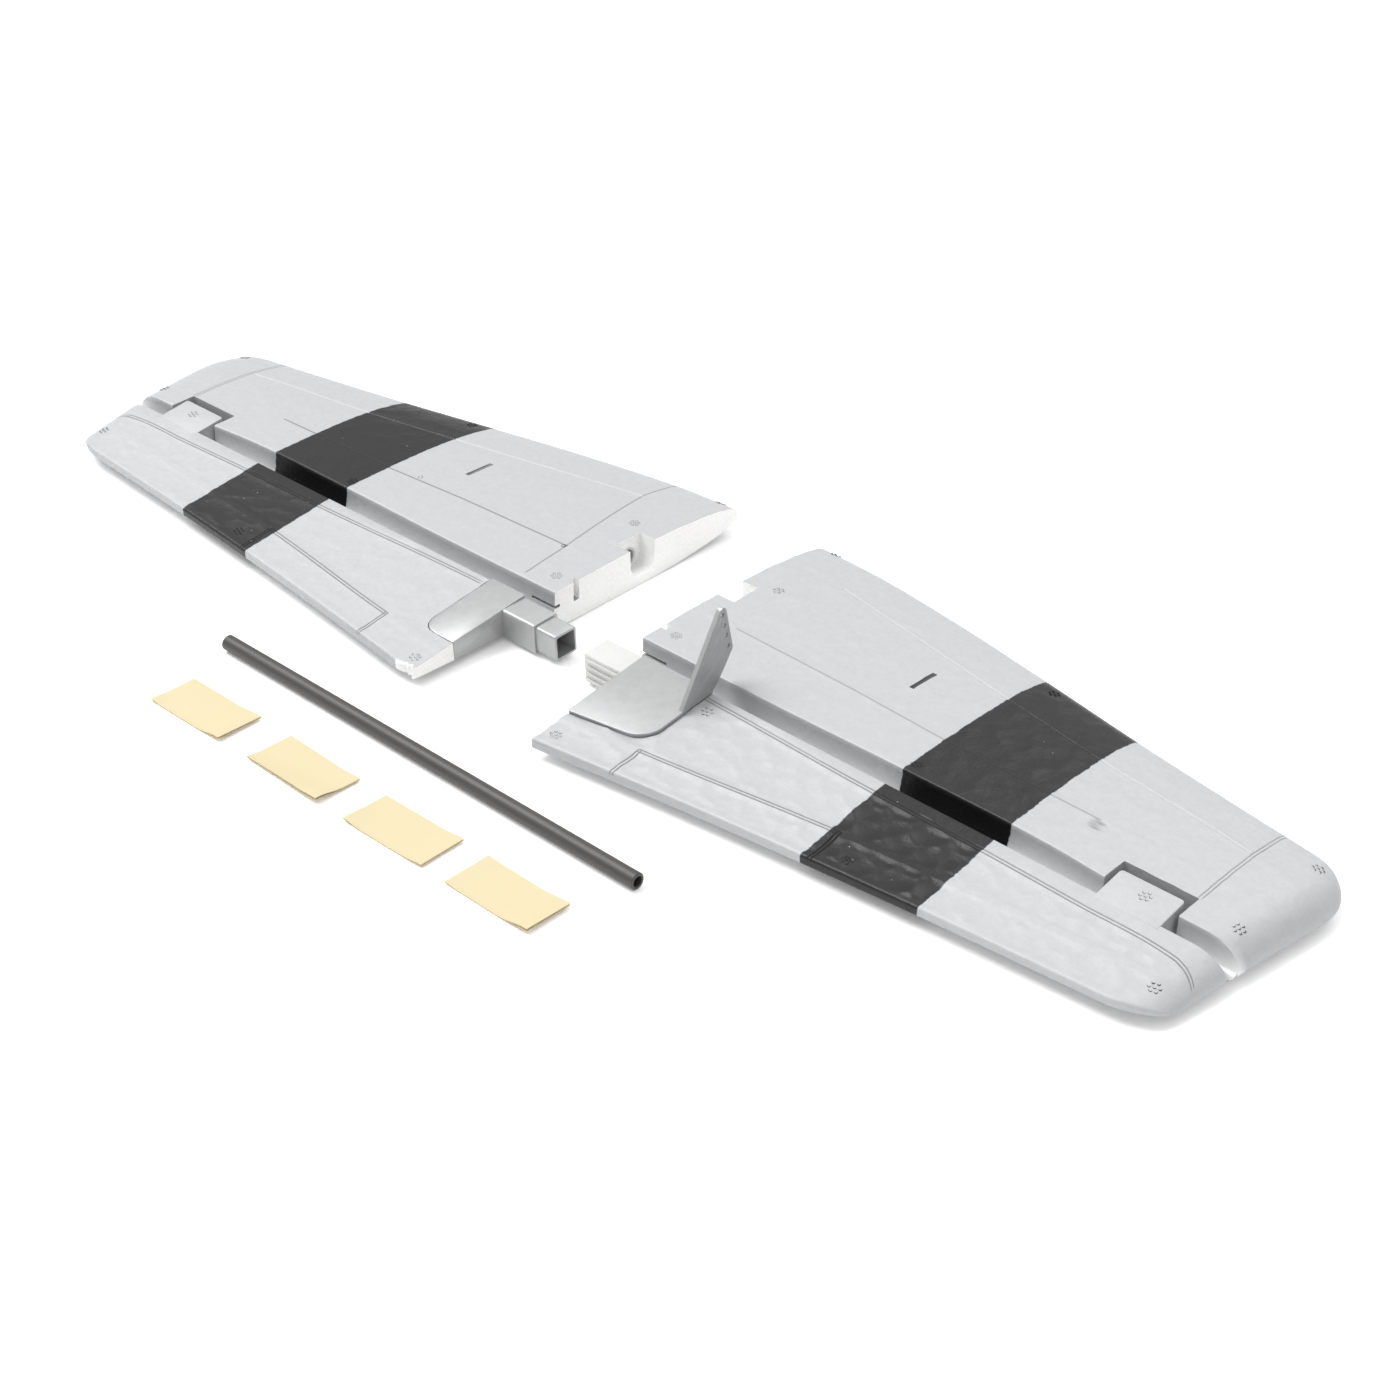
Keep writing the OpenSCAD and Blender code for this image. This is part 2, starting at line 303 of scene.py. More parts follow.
def bevel(obj, width, segments=3, angle=35):
    m = obj.modifiers.new("edges", "BEVEL")
    m.width, m.segments, m.limit_method = width * MM, segments, "ANGLE"
    m.angle_limit = math.radians(angle)
    return apply_modifiers(obj)


def sides(n, layers, start=0):
    """Faces between rings of n points that follow each other from start."""
    return [[start + k * n + i, start + k * n + (i + 1) % n,
             start + (k + 1) * n + (i + 1) % n, start + (k + 1) * n + i]
            for k in range(layers) for i in range(n)]


def closed(n, layers=1, start=0):
    """The same with a face on each end."""
    last = start + layers * n
    return [list(range(start, start + n)), list(range(last, last + n))] + sides(n, layers, start)


def extruded(outline, low, high, axis):
    """Points of an outline at two places along an axis: (u, v) along z, or (v, z) along u."""
    return [(a, b, h) if axis == "z" else (h, a, b) for h in (low, high) for a, b in outline]


def prism(name, outline, low, high, side=1, droop=False, axis="z"):
    return new_object(name, extruded(outline, low, high, axis), closed(len(outline)), side, droop)


def turn(steps):
    """Angles of a full turn."""
    return np.linspace(0, math.tau, steps + 1)[:-1]


def circle(centre, r, steps):
    return [(centre[0] + r * math.cos(a), centre[1] + r * math.sin(a)) for a in turn(steps)]


def rounded(points, radii, steps=5):
    """Outline with rounded corners."""
    out = []
    n = len(points)
    for i, r in enumerate(radii):
        p, a, b = (np.array(points[k % n], float) for k in (i, i - 1, i + 1))
        if not r:
            out.append(tuple(p))
            continue
        to_a, to_b = a - p, b - p
        to_a, to_b = to_a / np.linalg.norm(to_a), to_b / np.linalg.norm(to_b)
        for q in np.linspace(0, 1, steps + 1):
            out.append(tuple(p + to_a * r * (1 - q) ** 2 + to_b * r * q ** 2))
    return out


def box_outline(low, high, r):
    """Rectangle with rounded corners."""
    return rounded([low, (high[0], low[1]), high, (low[0], high[1])], [r] * 4)


# ---------------------------------------------------------------- foam halves

# Offsets of grid lines from a key curve: at rounded ends, at a single groove and at a double one
ENDS = [.05, .2, .5, .95, 1.5, 2.2, 3, 4, 5.2, 6.6, 8.2]
FINE = [.2, .42, .7, 1.1, 1.8, 3]
PAIR = [.26, .44, .62, .8, .98, 1.3, 2, 3]


def lead_v(u):
    """Leading edge."""
    w = (u - ROOT) / (TIP - ROOT)
    return CHORD * smooth_along(w, LEADING) - corner(w, .93, 14)


def foam_shell(ring, root_rows):
    """Vertices and faces of a closed shell. ring is (columns, points, 3); root_rows pairs each upper
    point with the lower one below it, for the end faces."""
    columns, n = ring.shape[:2]
    vertices = ring.reshape(-1, 3).tolist()
    faces = sides(n, columns - 1)
    for c, layers in ((0, 7), (columns - 1, 1)):
        stacks = []
        for top, low in root_rows:
            a, b = ring[c, top], ring[c, low]
            stack = [c * n + top]
            for k in range(1, layers):
                stack.append(len(vertices))
                vertices.append((a + (b - a) * k / layers).tolist())
            stacks.append(stack + [c * n + low])
        for s, t in zip(stacks, stacks[1:]):
            faces += [[s[k], t[k], t[k + 1], s[k + 1]] for k in range(layers)]
        first, last = root_rows[0], root_rows[-1]
        faces.append([c * n + i for i in range(first[1] + 1, n)] + stacks[0])
        faces.append([c * n + i for i in range(last[0] + 1, last[1])] + stacks[-1][::-1])
    return vertices, faces


def shell_object(name, side, ring, root_rows, line, droop=False):
    vertices, faces = foam_shell(ring, root_rows)
    name = f"{name}_{'left' if side < 0 else 'right'}"
    return new_object(name, vertices, faces, side, droop, painted(line, ring))


def stabiliser(side):
    """Foam of a stabiliser, with its lines, dents, hinge groove, notch and openings."""
    row_lines = grid_lines([[.12, .35, .7, 1.2], FINE, FINE, [.12, .45, .9, 1.6, 2.5, 3.6, 5]], [18, 36, 16])
    rows = [lambda u, v: smooth_along(u, GROOVE_EDGE), lambda u, v: along(u, REAR_LINE),
            lambda u, v: np.minimum(smooth_along(u, FRONT_LINE), lead_v(u) - 5), lambda u, v: lead_v(u)]
    column_lines = grid_lines([[], FINE, PAIR, ENDS], [14, 150, 12])
    columns = [lambda v: np.full(v.shape, ROOT), lambda v: along(v, ROOT_RIB),
               lambda v: np.full(v.shape, NOTCH_OUT, float), tip_u]
    u, v = solve_grid(row_lines, rows, column_lines, columns)
    w = (u - ROOT) / (tip_u(v) - ROOT)
    from_front = lead_v(u) - v
    s = np.clip(from_front / (lead_v(u) - EDGE), 0, 1)
    h = section_height(w) * np.sqrt(s) * smooth_along(s, NOSE)
    edge = smooth_along(u, GROOVE_EDGE)
    to_front_line, to_rear_line = v - smooth_along(u, FRONT_LINE), v - along(u, REAR_LINE)

    # depth of the moulded lines and of the rounded edge, and the painted shade that darkens them
    span = window(u, 52, 249)
    cut = .27 * groove(to_front_line, .6) * span
    cut += .06 * ramp(to_front_line, -.9, -.2) * (1 - ramp(to_front_line, 0, 2.5)) * span
    # painted shade in the rear line, the left root rib and the notch outline; line also darkens the crushed
    # spot below
    line = (.9 if side < 0 else .55) * groove(to_rear_line, .65) * window(u, 43.5, 205)
    if side < 0:
        line += .8 * groove(u - along(v, ROOT_RIB), .55) * ramp(v, 5, 7)
    line += .8 * groove(np.abs(u - NOTCH_OUT) - .62, .36) * ramp(v, 12, 14)
    cut += .16 * line + .45 * (1 - quarter(v - edge, 1.2))
    if side > 0:
        crushed = groove(np.hypot(u - 206, 1.3 * (v - 22.3)), 4.5) * (1 + .9 * np.sin(5 * u) * np.sin(4 * v))
        cut += .9 * crushed
        line += .6 * crushed
    cut *= ramp(from_front, 0, 3)

    # dents, which fade at the edges and beside the lines
    inside = ramp(v, edge, edge + 5) * ramp(from_front, 2, 9) * (1 - ramp(w, .95, .98))
    inside = inside * ramp(np.abs(to_rear_line), .5, 2.5) * ramp(np.abs(to_front_line), .5, 2.5)
    strength = .25 if side < 0 else .5
    swell = strength * hammered(u + 900, v + 900, DENT, 3 + side) * inside
    top = middle(w) + h - cut - strength * .5 * inside + swell
    low = middle(w) - h + cut
    upper = np.stack([u, v, top], 2).transpose(1, 0, 2)
    lower = np.stack([u, v, low], 2).transpose(1, 0, 2)

    # back of the section: straight under the hinge web, and a cove from the web up to the top edge
    foot = upper[:, 0] * [1, 0, 0] + [0, 1, HINGE_Z - WEB]
    under = [lower[:, 0] + (foot - lower[:, 0]) * q for q in (.35, .7, 1)]
    cove = []
    for a in np.radians(np.linspace(0, 90, 9)[:-1]):
        z = HINGE_Z + WEB + (upper[:, 0, 2] - HINGE_Z - WEB) * (1 - math.cos(a)) ** .9
        cove.append(np.stack([upper[:, 0, 0], 1 + (upper[:, 0, 1] - 1) * math.sin(a), z], 1))
    ring = np.concatenate([upper, lower[:, -2::-1], np.stack(under, 1), np.stack(cove, 1)], 1)
    n = len(row_lines)
    obj = shell_object("stabiliser_foam", side, ring, [(i, 2 * n - 2 - i) for i in range(n - 2)], line)

    notch = rounded([(NOTCH_IN, -2), (NOTCH_OUT, -2), (NOTCH_OUT, NOTCH_FRONT), (NOTCH_IN, NOTCH_FRONT)],
                    [0, 0, .5, .5])
    combine(obj, prism("notch", notch, -1, THICK + 1, side))

    # pocket, bore and guide slot of the tube socket
    half = 6.75
    pocket = [(TUBE_V - half, THICK + 1), (TUBE_V + half, THICK + 1), (TUBE_V + 6.5, 8.2), (TUBE_V + 4.5, 4),
              (TUBE_V - 4.5, 4), (TUBE_V - 6.5, 8.2)]
    combine(obj, prism("pocket", rounded(pocket, [0, 0, 1.5, 2, 2, 1.5]), ROOT - 1, ROOT + 8, side, axis="u"))
    bore = circle((TUBE_V, MID), BORE_R, 39)
    combine(obj, prism("bore", bore, ROOT + 7, BORE_END, side, axis="u"))
    slot = box_outline((BORE_END - .1, TUBE_V - half), (BORE_END + 1.9, TUBE_V + half), .3)
    combine(obj, prism("slot", slot, 4, THICK + 1, side))
    combine(obj, prism("relief", [(-1, MID + .8), (5.5, MID + .8), (5.5, MID + 2), (-1, MID + 2)],
                       ROOT - 1, ROOT + 12, side, axis="u"))
    combine(obj, prism("recess", box_outline((12.6, 8), (15.6, THICK + 1), .8), ROOT - 1, ROOT + 2.4,
                       side, axis="u"))
    return obj


def trail_v(u, v):
    """Trailing edge."""
    w = (u - ELEVATOR_ROOT) / (tip_u(v) - ELEVATOR_ROOT)
    return -ELEVATOR_CHORD * smooth_along(w, TRAILING) + corner(w, .93, 11)


def chipped_trail(u, v):
    """Trailing edge with foam broken off at its root corner."""
    chips = 1.3 + .8 * np.sin(u * 2.3) + .6 * np.sin(u * 5.1 + 1)
    return trail_v(u, v) + chips * (1 - ramp(u, 33, 41))


def elevator(side):
    """Foam of an elevator, with its lines and dents and its balance tab."""
    row_lines = grid_lines([[.12, .35, .7, 1.2], PAIR, PAIR, [.1, .35, .75, 1.2]], [1, 26, 18])
    edge_v = chipped_trail if side < 0 else trail_v
    rows = [lambda u, v: np.full(u.shape, -EDGE), lambda u, v: smooth_along(u, DOUBLE_LINE),
            lambda u, v: smooth_along(u, TRIM_LINE), edge_v]
    column_lines = grid_lines([[.15, .5, 1], PAIR, PAIR, ENDS], [24, 60, 92])
    columns = [lambda v: np.full(v.shape, ELEVATOR_ROOT), lambda v: np.full(v.shape, TRIM_ENDS[0]),
               lambda v: np.full(v.shape, TRIM_ENDS[1]), tip_u]
    u, v = solve_grid(row_lines, rows, column_lines, columns)
    w = (u - ELEVATOR_ROOT) / (tip_u(v) - ELEVATOR_ROOT)
    trailing = edge_v(u, v)
    from_back, from_front = v - trailing, -EDGE - v

    # half thickness: a wedge from the hinge line to the trailing edge, with rounded edges
    front = FRONT_SHARE * section_height(w)
    back = TRAILING_HALF * (1 - .25 * w) * roll_off(w)
    height = front + v * (front - back) / -trailing
    height = height - .9 * np.minimum(1, back) * (1 - quarter(from_back, 1.1))
    height = height - .8 * (1 - quarter(from_front, 1.1))

    # the moulded double lines, and the painted shade that darkens them
    to_double, to_trim = v - smooth_along(u, DOUBLE_LINE), v - smooth_along(u, TRIM_LINE)
    line = pair(to_double) * window(u, 62 if side > 0 else 50, 269)
    line += pair(to_trim) * window(u, TRIM_ENDS[0] - .6, TRIM_ENDS[1] + .6, .3)
    for end in TRIM_ENDS:
        line = np.maximum(line, pair(u - end) * (1 - ramp(to_trim, .2, .8)))

    # dents, which fade at the edges and beside the lines
    inside = ramp(from_front, .5, 4) * ramp(from_back, 1, 4) * (1 - ramp(w, .955, .985))
    inside = inside * ramp(np.abs(to_double), .9, 3) * ramp(np.abs(to_trim), .9, 3)
    strength = (.4 if side < 0 else 1) * (1 + .35 * window(u, *BAND))
    swell = strength * hammered(u + 700, v + 700, DENT, 11 + side) * inside
    top = middle(w) + height - .26 * line * ramp(from_back, 0, 1) - strength * .5 * inside + swell
    low = middle(w) - height
    upper = np.stack([u, v, top], 2).transpose(1, 0, 2)
    lower = np.stack([u, v, low], 2).transpose(1, 0, 2)
    back_face = [upper[:, -1] + (lower[:, -1] - upper[:, -1]) * q for q in (.2, .4, .6, .8)]
    foot = upper[:, 0] * [1, 0, 0] + [0, -1, 0]
    front_face = [foot + [0, 0, HINGE_Z - WEB], foot + [0, 0, HINGE_Z + WEB]]
    front_face += [front_face[1] + (upper[:, 0] - front_face[1]) * q for q in (.25, .5, .75)]
    ring = np.concatenate([upper, np.stack(back_face, 1), lower[:, ::-1], np.stack(front_face, 1)], 1)
    n = len(row_lines)
    last = 2 * n + len(back_face) - 1
    obj = shell_object("elevator_foam", side, ring, [(i, last - i) for i in range(n)], line, True)
    combine(obj, balance_tab(side), "UNION")
    return obj


def balance_tab(side):
    """Tab that sits in the stabiliser's notch, higher towards its front."""
    back, front, rise = -6.5, 8.6, .101
    outline = rounded([(225.2, back), (249, back), (249, front), (225.2, front)], [0, 0, 1.5, 1.5])
    points = [(a, b, MID - 5.4) for a, b in outline]
    points += [(a, b, MID + 5.24 + (b - back) * rise) for a, b in outline]
    return bevel(new_object("tab", points, closed(len(outline)), side, True), .35)


# ---------------------------------------------------------------- materials

class Net:
    """Short names for the nodes of one material."""

    def __init__(self, name, colour):
        self.material = bpy.data.materials.new(name)
        self.material.use_nodes = True
        self.material.diffuse_color = (*colour, 1)
        self.tree = self.material.node_tree
        self.shader = self.tree.nodes["Principled BSDF"]
        self.position = self.node("ShaderNodeTexCoord").outputs["Object"]

    def node(self, kind, **values):
        n = self.tree.nodes.new(kind)
        for k, v in values.items():
            setattr(n, k, v)
        return n

    def link(self, a, b):
        self.tree.links.new(a, b)

    def math(self, operation, *values, clamp=False):
        n = self.node("ShaderNodeMath", operation=operation, use_clamp=clamp)
        for i, v in enumerate(values):
            self.set(n.inputs[i], v)
        return n.outputs[0]

    def set(self, socket, v):
        if isinstance(v, bpy.types.NodeSocket):
            self.link(v, socket)
        else:
            socket.default_value = v

    def noise(self, scale, detail=2, roughness=.5, vector=None):
        n = self.node("ShaderNodeTexNoise")
        self.link(vector or self.position, n.inputs["Vector"])
        n.inputs["Scale"].default_value = scale
        n.inputs["Detail"].default_value = detail
        n.inputs["Roughness"].default_value = roughness
        return n.outputs["Fac"]

    def cells(self, scale, feature="F1"):
        n = self.node("ShaderNodeTexVoronoi", feature=feature)
        self.link(self.position, n.inputs["Vector"])
        n.inputs["Scale"].default_value = scale
        return n

    def remap(self, value, a, b, c=0, d=1):
        n = self.node("ShaderNodeMapRange", clamp=True)
        for i, v in enumerate((value, a, b, c, d)):
            self.set(n.inputs[i], v)
        return n.outputs[0]

    def mix(self, share, a, b):
        n = self.node("ShaderNodeMix", data_type="RGBA")
        self.set(n.inputs[0], share)
        for socket, v in ((n.inputs[6], a), (n.inputs[7], b)):
            self.set(socket, v if isinstance(v, bpy.types.NodeSocket) else (*v, 1))
        return n.outputs[2]

    def bump(self, height, strength, distance, normal=None):
        n = self.node("ShaderNodeBump")
        self.link(height, n.inputs["Height"])
        n.inputs["Strength"].default_value = strength
        n.inputs["Distance"].default_value = distance
        if normal:
            self.link(normal, n.inputs["Normal"])
        return n.outputs["Normal"]

    def finish(self, colour=None, roughness=None, normal=None, **values):
        if colour is not None:
            self.set(self.shader.inputs["Base Color"], colour)
        if roughness is not None:
            self.set(self.shader.inputs["Roughness"], roughness)
        if normal is not None:
            self.link(normal, self.shader.inputs["Normal"])
        for k, v in values.items():
            self.shader.inputs[k.replace("_", " ")].default_value = v
        return self.material


def foam_paint():
    """Silver paint over foam beads, with the black band and its spray mist. The moulded lines are darkened
    with painted shade, and the foot of the hinge groove is lightened with painted light.
    """
    n = Net("silver_paint", (.66, .67, .67))
    split = n.node("ShaderNodeSeparateXYZ")
    n.link(n.position, split.inputs[0])
    reach = n.math("ABSOLUTE", split.outputs[0])
    wobble = n.math("MULTIPLY", n.math("SUBTRACT", n.noise(420, 3), .5), .0011)
    reach = n.math("ADD", reach, wobble)
    inner = n.remap(reach, (BAND[0] - .25) * MM, (BAND[0] + .1) * MM)
    outer = n.remap(reach, (BAND[1] - .1) * MM, (BAND[1] + .25) * MM, 1, 0)
    band = n.math("MULTIPLY", inner, outer)
    mist = n.math("MULTIPLY", n.remap(reach, (BAND[0] - 5) * MM, BAND[0] * MM, 0, 1),
                  n.remap(reach, BAND[1] * MM, (BAND[1] + 5) * MM, 1, 0))
    mist = n.math("MULTIPLY", n.math("MULTIPLY", mist, mist), n.remap(n.noise(1500, 2), .52, .7, 0, .16))
    flakes = n.remap(n.cells(3200).outputs["Distance"], .1, .75, -.5, .5)
    tone = n.math("ADD", n.math("MULTIPLY", flakes, .2), n.math("MULTIPLY", n.noise(28, 3), .06))
    tone = n.math("ADD", tone, n.math("MULTIPLY", n.math("SUBTRACT", n.noise(420, 3, .6), .5), .7))
    silver = n.mix(n.math("ADD", tone, .46, clamp=True), (.35, .354, .362), (.44, .444, .452))
    beads = n.cells(520, "DISTANCE_TO_EDGE")
    silver = n.mix(n.remap(beads.outputs["Distance"], 0, .06, .035, 0), silver, (.2, .2, .2))
    silver = n.mix(mist, silver, (.12, .095, .09))
    # painted shade: darker colour in the moulded grooves, read from the line attribute
    line = n.node("ShaderNodeAttribute", attribute_name="line").outputs["Fac"]
    silver = n.mix(n.math("MULTIPLY", n.remap(line, .05, .75), .55), silver, (.06, .06, .064))
    # painted light: paler colour at the foot of the hinge groove, for the brightly lit floor of the groove
    across = n.math("ABSOLUTE", n.math("SUBTRACT", split.outputs[1], HINGE_Y * MM))
    foot = n.math("MULTIPLY", n.remap(across, .0012, .0045, 1, 0),
                  n.remap(split.outputs[2], .0045, .0135, 1, 0))
    silver = n.mix(n.math("MULTIPLY", foot, .85), silver, (.78, .78, .78))
    specks = n.math("MULTIPLY", n.remap(n.cells(380).outputs["Distance"], .05, .09, 1, 0),
                    n.remap(n.noise(60, 1), .62, .66))
    black = n.mix(n.math("MULTIPLY", n.noise(60, 3), .3), (.006, .0056, .006), (.017, .016, .0165))
    black = n.mix(specks, black, (.45, .45, .45))
    colour = n.mix(band, silver, black)
    normal = n.bump(n.noise(120, 3), .3, .0006)
    normal = n.bump(n.noise(380, 2), .3, .0005, normal)
    normal = n.bump(n.noise(900, 2), .18, .0003, normal)
    normal = n.bump(beads.outputs["Distance"], .1, .0002, normal)
    normal = n.bump(n.noise(2600, 1), .05, .00008, normal)
    rough = n.math("ADD", n.remap(band, 0, 1, .48, .33), n.math("MULTIPLY", n.noise(700, 2), .1))
    rough = n.math("ADD", rough, n.math("MULTIPLY", line, .4))
    n.link(n.remap(band, 0, 1, .16, 0), n.shader.inputs["Metallic"])
    return n.finish(colour, rough, normal, Specular_IOR_Level=.32)


def bare_foam():
    n = Net("bare_foam", (.76, .76, .75))
    beads = n.cells(430, "DISTANCE_TO_EDGE")
    colour = n.mix(n.remap(beads.outputs["Distance"], 0, .12, 0, 1), (.7, .7, .695), (.78, .78, .775))
    colour = n.mix(n.noise(120, 2), colour, (.78, .78, .77))
    normal = n.bump(n.remap(beads.outputs["Distance"], 0, .25), .12, .0003)
    normal = n.bump(n.noise(250, 3), .14, .0008, normal)
    return n.finish(colour, n.math("ADD", n.math("MULTIPLY", n.noise(300, 2), .2), .6), normal,
                    Subsurface_Weight=.08, Subsurface_Scale=.002)


def plastic(name, dark, light, rough, scale=300, metallic=0, **values):
    n = Net(name, light)
    colour = n.mix(n.noise(scale, 4, .6), dark, light)
    normal = n.bump(n.noise(scale * 8, 2), .15, .00012)
    roughness = n.math("ADD", n.math("MULTIPLY", n.noise(scale * 2, 3), .12), rough - .06)
    return n.finish(colour, roughness, normal, Metallic=metallic, **values)


def carbon():
    n = Net("carbon_tube", (.06, .058, .055))
    stretch = n.node("ShaderNodeMapping")
    stretch.inputs["Scale"].default_value = (.02, 1, 1)
    n.link(n.position, stretch.inputs["Vector"])
    streak = n.noise(1800, 3, .6, stretch.outputs[0])
    around = n.node("ShaderNodeMapping")
    around.inputs["Scale"].default_value = (1, .08, .08)
    n.link(n.position, around.inputs["Vector"])
    ground = n.noise(1600, 2, .6, around.outputs[0])
    colour = n.mix(streak, (.026, .0245, .023), (.056, .053, .05))
    normal = n.bump(ground, .22, .00006)
    normal = n.bump(streak, .12, .00004, normal)
    return n.finish(colour, n.math("ADD", n.math("MULTIPLY", ground, .12), .4), normal)


def paper():
    n = Net("liner_paper", (.59, .54, .33))
    fibre = n.noise(900, 4, .7)
    colour = n.mix(n.noise(60, 2), (.53, .458, .28), (.55, .475, .3))
    colour = n.mix(n.math("MULTIPLY", fibre, .12), colour, (.46, .39, .23))
    return n.finish(colour, n.math("ADD", n.math("MULTIPLY", fibre, .15), .45), n.bump(fibre, .1, .00005))


def film():
    n = Net("clear_film", (.69, .58, .35))
    colour = n.mix(n.noise(200, 3), (.69, .54, .27), (.71, .59, .35))
    return n.finish(colour, n.math("ADD", n.math("MULTIPLY", n.noise(500, 2), .1), .18),
                    n.bump(n.noise(150, 2), .1, .0001), Transmission_Weight=.3, IOR=1.45)


PAINT, BARE = foam_paint(), bare_foam()
GREY = plastic("grey_plastic", (.31, .312, .315), (.4, .402, .405), .34, 260, .35)
WHITE = plastic("white_plastic", (.48, .48, .472), (.55, .55, .54), .42, 200)
DARK = plastic("dark_plastic", (.022, .022, .024), (.038, .038, .04), .5)
DUSTED = plastic("dusted_plastic", (.1, .1, .103), (.18, .18, .184), .5)
# painted shade: near-black colours for the inside of the vent marks and pits
PIT_SHADE = plastic("vent_pit_shade", (.03, .03, .03), (.08, .08, .08), .6)
DEEP_PIT_SHADE = plastic("vent_pit_shade_black", (.001, .001, .001), (.004, .004, .004), .8, Specular_IOR_Level=.05)
CARBON, PAPER, FILM = carbon(), paper(), film()


def dress(obj, body, slot, materials, *nodes, pick=None):
    """Materials and body of a finished piece; slot is not used. pick gives each face's material from its
    centre and normal in local millimetres."""
    obj.data.materials.clear()
    for m in materials:
        obj.data.materials.append(m)
    if pick:
        centre = np.empty(len(obj.data.polygons) * 3)
        normal = np.empty(len(obj.data.polygons) * 3)
        obj.data.polygons.foreach_get("center", centre)
        obj.data.polygons.foreach_get("normal", normal)
        centre = centre.reshape(-1, 3) / MM - [0, HINGE_Y, 0]
        index = pick(np.abs(centre[:, 0]), centre[:, 1], centre[:, 2], normal.reshape(-1, 3))
        obj.data.polygons.foreach_set("material_index", index.astype(np.int32))
    if body:
        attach(obj, body)
    if nodes:
        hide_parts(*nodes)
    return obj


def stab_faces(u, v, z, normal):
    """Faces of bare foam: the tube pocket, the root and the recess."""
    pocket = (u < ROOT + 8.2) & (v > 42.5) & (v < 56.5) & (z > 3.9)
    end = (u < ROOT + .3) & (np.abs(normal[:, 0]) > .6)
    recess = (u < ROOT + 2.6) & (v > 12.4) & (v < 15.8) & (z > 7.9) & (np.abs(normal[:, 2]) < .9)
    return pocket & (np.abs(normal[:, 2]) < .9) | pocket & (z < 12) | end | recess


def elevator_faces(u, v, z, normal):
    """Bare foam of the root."""
    return (u < ELEVATOR_ROOT + .3) & (np.abs(normal[:, 0]) > .6)


def broken_faces(u, v, z, normal):
    """The same with the broken corner of the left elevator."""
    broken = (u < 41) & (v < -57.5) & (normal[:, 2] < .9)
    return elevator_faces(u, v, z, normal) | broken


shells = {}
for side, name in ((-1, "left"), (1, "right")):
    stab = stabiliser(side)
    smooth_shade(stab)
    dress(stab, f"{name}_half", "painted_foam", [PAINT, BARE], f"stabiliser_{name}", pick=stab_faces)
    shells["stab", side] = stab
    shells["elevator", side] = elevator(side)


# ---------------------------------------------------------------- joiner, horn, tube and tapes

JOINER_V, JOINER_Z = -9.1, 7.6           # middle of the joiner
HALF_HINGE = FRONT_SHARE * THICK / 2     # half thickness of the elevator's root at the hinge line
SKIN = math.atan((HALF_HINGE - TRAILING_HALF) / ELEVATOR_CHORD)


def skin_z(v):
    """Height of the elevator's upper skin at its root, before the droop."""
    return MID + HALF_HINGE + v * math.tan(SKIN)


def square_outline(width, r):
    a = width / 2
    return box_outline((JOINER_V - a, JOINER_Z - a), (JOINER_V + a, JOINER_Z + a), r)


def wedge(name, outline, side, inset):
    """Prism between the elevator's two skins, a little inside both."""
    points = [(a, b, 2 * MID - skin_z(b) + inset) for a, b in outline]
    points += [(a, b, skin_z(b) - inset) for a, b in outline]
    return new_object(name, points, closed(len(outline)), side, True)


def joiner_spigot():
    gap = .22
    hole = rounded([(29, -3.4 + gap), (29, -39.5 - gap), (48.5 + gap, -39.5 - gap), (48.5 + gap, -3.4 + gap)],
                   [0, 0, 8, 1.2])
    combine(shells["elevator", -1], prism("plate_cut", hole, -1, THICK + 2, -1, True))
    plate = wedge("joiner_spigot_left", rounded([(31.02, -3.4), (31.02, -39.5), (48.5, -39.5), (48.5, -3.4)],
                                                [.8, .8, 8, 1.2]), -1, .05)
    bevel(plate, .35, 2, 50)
    shoulder = prism("shoulder", square_outline(12.4, 1.5), 14.5, 32, -1, True, "u")
    bevel(shoulder, .45, 3, 60)
    combine(plate, shoulder, "UNION")
    spigot = prism("spigot", square_outline(10.6, 1.3), 4.3, 16, -1, True, "u")
    bevel(spigot, .22, 2, 60)
    combine(plate, spigot, "UNION")
    combine(plate, prism("hollow", square_outline(8.8, .9), 3, 30.3, -1, True, "u"))
    smooth_shade(plate, 30)
    return plate


def joiner_socket():
    block = prism("joiner_socket_right", square_outline(12.4, .9), 11.5, 31.1, 1, True, "u")
    bevel(block, .3, 2, 60)
    combine(block, prism("tenon", square_outline(10, .4), 30, 50, 1, True, "u"), "UNION")
    combine(block, prism("mouth", square_outline(10.8, .7), 10, 27.3, 1, True, "u"))
    for k in range(4):
        z = JOINER_Z - 4.1 + 2.75 * k
        rib = box_outline((JOINER_V - 6.9, z - .45), (JOINER_V - 5.9, z + .45), .3)
        combine(block, prism("rib", rib, 12 + .4 * k, 31.05, 1, True, "u"), "UNION")
    smooth_shade(block, 30)
    return block


def tilted(p):
    """From the frame on the elevator's skin to local coordinates."""
    c, s = math.cos(SKIN), math.sin(SKIN)
    p = np.array(p, float)
    return np.stack([p[:, 0], p[:, 1] * c - p[:, 2] * s,
                     MID + HALF_HINGE + p[:, 1] * s + p[:, 2] * c], 1)


def skin_prism(name, outline, low, high, axis="z"):
    """Prism on the right elevator's skin: (u, v) outline along its normal, or (v, height) along u."""
    return new_object(name, tilted(extruded(outline, low, high, axis)), closed(len(outline)), droop=True)


